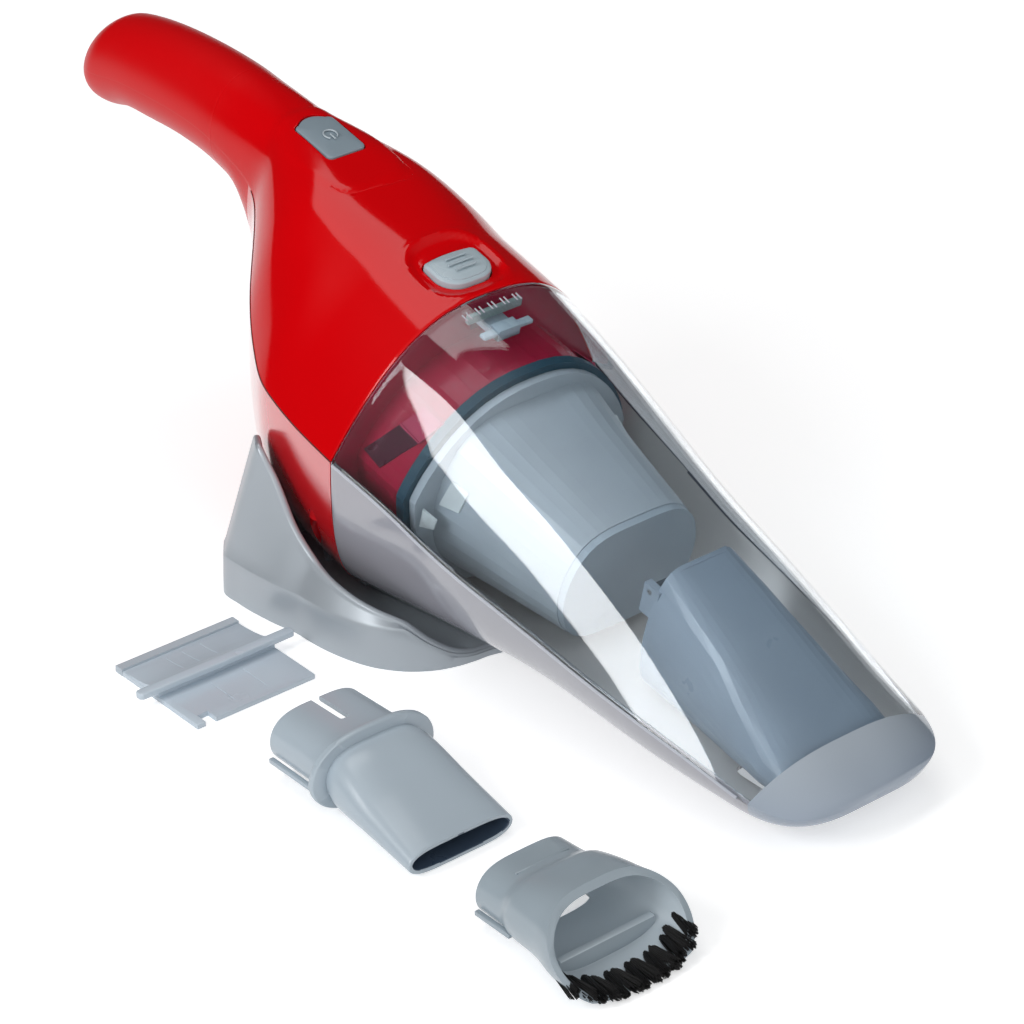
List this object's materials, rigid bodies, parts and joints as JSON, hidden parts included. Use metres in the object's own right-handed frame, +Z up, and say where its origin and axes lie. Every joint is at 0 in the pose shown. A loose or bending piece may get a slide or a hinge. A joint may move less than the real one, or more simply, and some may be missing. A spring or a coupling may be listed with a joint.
{
  "type": "handheld vacuum cleaner",
  "caption": "Cordless wet and dry hand vacuum with a red body, smoky clear bowl, power and release buttons, docked nose-down in a charging stand, with loose nozzles.",
  "frame": {"origin": "middle of the charging stand's underside, on the surface it stands on", "axes": "+X towards the nose of the docked cleaner, +Z up, the loose nozzles on the -Y side"},
  "size_m": [0.4529, 0.218, 0.1621],
  "materials": {
    "red_shell": "high-gloss moulded ABS",
    "clear_bowl": "smoky clear moulded plastic, polished",
    "grey_nozzle": "fine satin moulded plastic",
    "grey_button": "satin moulded plastic",
    "duct_grey": "satin moulded plastic",
    "dark_plastic": "moulded glass-filled nylon",
    "cream_plastic": "moulded plastic",
    "filter_plastic": "satin moulded plastic",
    "pleated_fabric": "pleated non-woven",
    "seal_rubber": "soft moulded rubber",
    "foot_rubber": "moulded rubber",
    "steel": "turned and plated",
    "magnet_grey": "sintered ferrite",
    "copper_core": "varnished winding on laminated core",
    "contact_brass": "plated contact",
    "cell_wrap": "heat-shrunk sleeve",
    "board_green": "solder-masked board",
    "bristle_black": "crimped nylon filament"
  },
  "bodies": {
    "stand": {"stand_shell": "grey_nozzle", "stand_base": "grey_nozzle", "stand_screws": "steel", "stand_feet": "foot_rubber", "stand_contacts": "contact_brass", "charge_inlet": "dark_plastic"},
    "cleaner": {"upper_housing": "red_shell", "lower_housing": "red_shell", "housing_screws": "steel", "motor_bulkhead": "red_shell", "fan_housing": "dark_plastic", "motor_can": "steel", "motor_magnets": "magnet_grey", "motor_end_cap": "cream_plastic", "motor_screws": "steel", "battery_cell_rear": "cell_wrap", "battery_cell_front": "cell_wrap", "battery_carrier": "dark_plastic", "control_board": "board_green", "power_switch": "dark_plastic", "power_spring": "steel", "release_spring": "steel", "charge_contacts": "contact_brass", "filter_seal": "seal_rubber"},
    "rotor": {"impeller": "cream_plastic", "motor_shaft": "steel", "armature": "copper_core"},
    "power_key": {"power_button": "grey_button"},
    "release_key": {"release_button": "grey_button"},
    "bowl": {"dust_bowl": "clear_bowl", "intake_duct": "duct_grey", "flap_pin": "steel"},
    "flap": {"flap_valve": "seal_rubber"},
    "filter": {"filter_frame": "filter_plastic", "filter_pleats": "pleated_fabric", "filter_front_cap": "filter_plastic"},
    "squeegee": {"squeegee_plate": "grey_nozzle", "squeegee_lip": "foot_rubber"},
    "crevice": {"crevice_nozzle": "grey_nozzle"},
    "brush": {"brush_body": "grey_nozzle", "brush_bristles": "bristle_black"}
  },
  "joints": [
    {"name": "cleaner_lift", "type": "slide", "parent": "stand", "child": "cleaner", "axis": [0, 0, 1], "range_m": [0, 0.12]},
    {"name": "power_press", "type": "slide", "parent": "cleaner", "child": "power_key", "axis": [-0.225, 0, -0.9744], "range_m": [0, 0.0025], "stiffness_N_per_m": 800, "springref_m": -0.0012, "deforming": ["power_spring"]},
    {"name": "release_press", "type": "slide", "parent": "cleaner", "child": "release_key", "axis": [-0.225, 0, -0.9744], "range_m": [0, 0.0035], "stiffness_N_per_m": 600, "springref_m": -0.0015, "deforming": ["release_spring"]},
    {"name": "rotor_spin", "type": "hinge", "parent": "cleaner", "child": "rotor", "pos_m": [-0.0008, 0, 0.0637], "axis": [0.9744, 0, -0.225], "continuous": true},
    {"name": "bowl_pull", "type": "slide", "parent": "cleaner", "child": "bowl", "axis": [1, 0, 0], "range_m": [0, 0.13]},
    {"name": "flap_swing", "type": "hinge", "parent": "bowl", "child": "flap", "pos_m": [0.11965, 0, 0.05642], "axis": [0, 1, 0], "range_deg": [0, 38]},
    {"name": "filter_pull", "type": "slide", "parent": "cleaner", "child": "filter", "axis": [0.9744, 0, -0.225], "range_m": [0, 0.008]},
    {"name": "squeegee_lift", "type": "slide", "parent": "stand", "child": "squeegee", "axis": [0, 0, 1], "range_m": [0, 0.15]},
    {"name": "crevice_lift", "type": "slide", "parent": "stand", "child": "crevice", "axis": [0, 0, 1], "range_m": [0, 0.15]},
    {"name": "brush_lift", "type": "slide", "parent": "stand", "child": "brush", "axis": [0, 0, 1], "range_m": [0, 0.15]}
  ]
}
